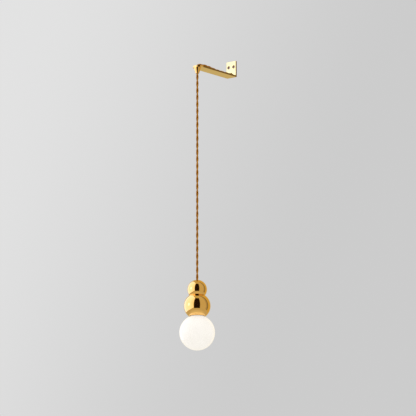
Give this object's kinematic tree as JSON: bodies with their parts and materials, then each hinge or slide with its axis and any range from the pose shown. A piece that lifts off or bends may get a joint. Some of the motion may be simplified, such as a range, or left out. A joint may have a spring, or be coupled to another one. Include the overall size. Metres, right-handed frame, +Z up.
{
  "type": "pendant wall light",
  "caption": "Wall light: an L-shaped brass bracket, a twisted flex hanging from its arm, and stacked brass balls over an opal globe lamp.",
  "frame": {"origin": "midway between the two screw holes, on the bracket's face that lies on the wall", "axes": "+Z up, +Y into the wall, so the arm reaches out along -Y; +X to the right seen from the room"},
  "size_m": [0.1, 0.2111, 0.8625],
  "materials": {
    "polished_brass": "mirror polished, clear lacquered",
    "plain_brass": "bare, satin",
    "amber_flex": "braided rayon sleeve over two twisted cores",
    "core_sleeve": "silicone core insulation",
    "silicone": "matt",
    "black_plastic": "moulded phenolic",
    "white_ceramic": null,
    "white_plastic": "moulded, satin",
    "steel": "zinc plated",
    "nickel": "nickel-plated brass",
    "aluminium": "plain sheet",
    "dark_glass": "pressed glass",
    "opal_glass": "satin opal, lit from inside",
    "led_phosphor": "phosphor-coated chips",
    "circuit_board": "solder-masked board"
  },
  "bodies": {
    "bracket": {"wall_bracket": "polished_brass", "plate_bush": "black_plastic", "gland_nipple": "polished_brass", "gland_cone": "polished_brass", "gland_insert": "silicone", "cord_on_arm": "amber_flex"},
    "flex_neck": {"cord_neck": "amber_flex"},
    "flex": {"cord_drop": "amber_flex"},
    "head": {"upper_ball": "polished_brass", "cord_boss": "polished_brass", "cord_grub_screws": "steel", "cord_in_head": "amber_flex", "threaded_tube": "steel", "lower_ball": "polished_brass", "tube_washer": "polished_brass", "tube_nut": "steel", "holder_cap": "black_plastic", "holder_body": "black_plastic", "holder_insert": "white_ceramic", "holder_shell": "plain_brass", "holder_centre_contact": "plain_brass", "terminal_screws": "steel", "core_tails": "core_sleeve"},
    "lamp_end": {"lamp_tip": "nickel"},
    "lamp": {"lamp_globe": "opal_glass", "lamp_collar": "white_plastic", "lamp_cap": "nickel", "lamp_cap_insulator": "dark_glass", "lamp_led_plate": "aluminium", "lamp_leds": "led_phosphor", "lamp_driver": "circuit_board"}
  },
  "joints": [
    {"name": "swing_side", "type": "hinge", "parent": "bracket", "child": "flex_neck", "pos_m": [0, -0.161, -0.048], "axis": [0, 1, 0], "range_deg": [-25, 25]},
    {"name": "swing_out", "type": "hinge", "parent": "flex_neck", "child": "flex", "pos_m": [0, -0.161, -0.068], "axis": [1, 0, 0], "range_deg": [-25, 8]},
    {"name": "head_turn", "type": "hinge", "parent": "flex", "child": "head", "pos_m": [0, -0.161, -0.646], "axis": [0, 0, 1], "range_deg": [-90, 90]},
    {"name": "lamp_travel", "type": "slide", "parent": "head", "child": "lamp_end", "axis": [0, 0, -1], "range_m": [0, 0.0109]},
    {"name": "lamp_turn", "type": "hinge", "parent": "lamp_end", "child": "lamp", "pos_m": [0, -0.161, -0.7106], "axis": [0, 0, -1], "range_deg": [0, 1080]}
  ],
  "couplings": [
    {"joint": "lamp_travel", "follows": "lamp_turn", "m_per_rad": 0.00057614}
  ]
}
